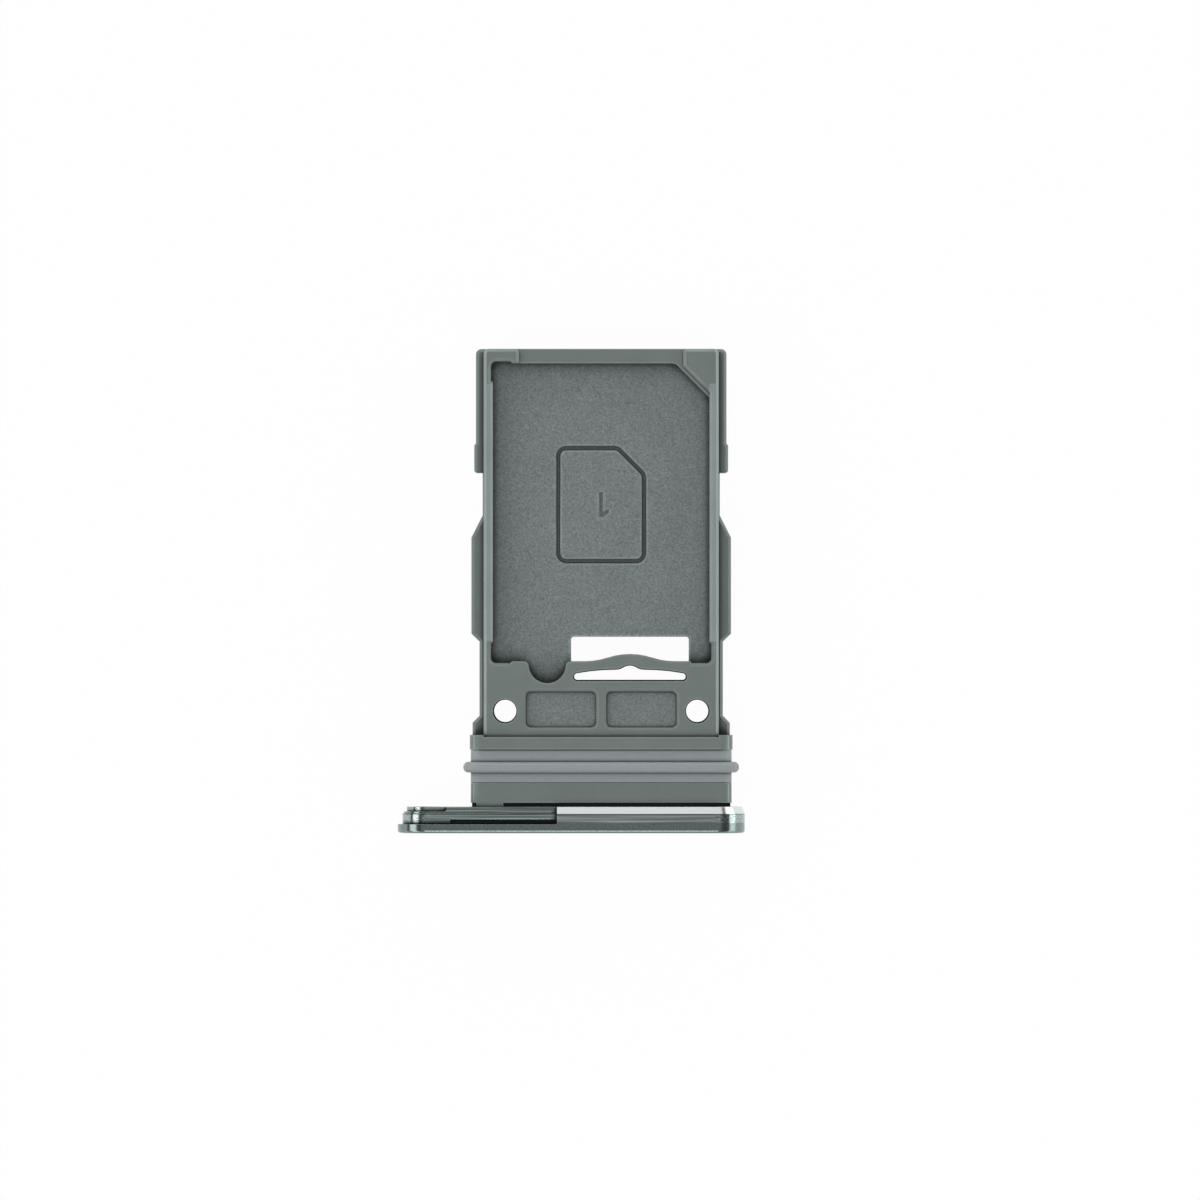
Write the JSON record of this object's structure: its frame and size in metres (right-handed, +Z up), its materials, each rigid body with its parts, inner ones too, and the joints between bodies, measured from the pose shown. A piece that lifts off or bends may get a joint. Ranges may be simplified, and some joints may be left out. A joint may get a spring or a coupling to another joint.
{
  "type": "sim card tray",
  "caption": "Flat moulded card tray, pocketed on both faces, with a sprung strip, side rails and a ring seal, closed by a stadium-shaped metal cap with an eject-pin hole.",
  "frame": {"origin": "under the middle of the whole tray, at the level of the cap's lower edge", "axes": "+X across the tray, towards the end of the cap away from the eject hole; +Y along it, from the cap to the tip, the way it slides in; +Z up, out of the face with the card outline"},
  "size_m": [0.0144, 0.0202, 0.0028],
  "materials": {
    "anodised_cap": "satin anodised, grey-green",
    "moulded_tray": "moulded, finely textured floor, grey-green",
    "silicone_seal": "matte silicone, light grey"
  },
  "bodies": {
    "root": {"cap": "anodised_cap", "tray": "moulded_tray", "seal": "silicone_seal"}
  },
  "joints": []
}
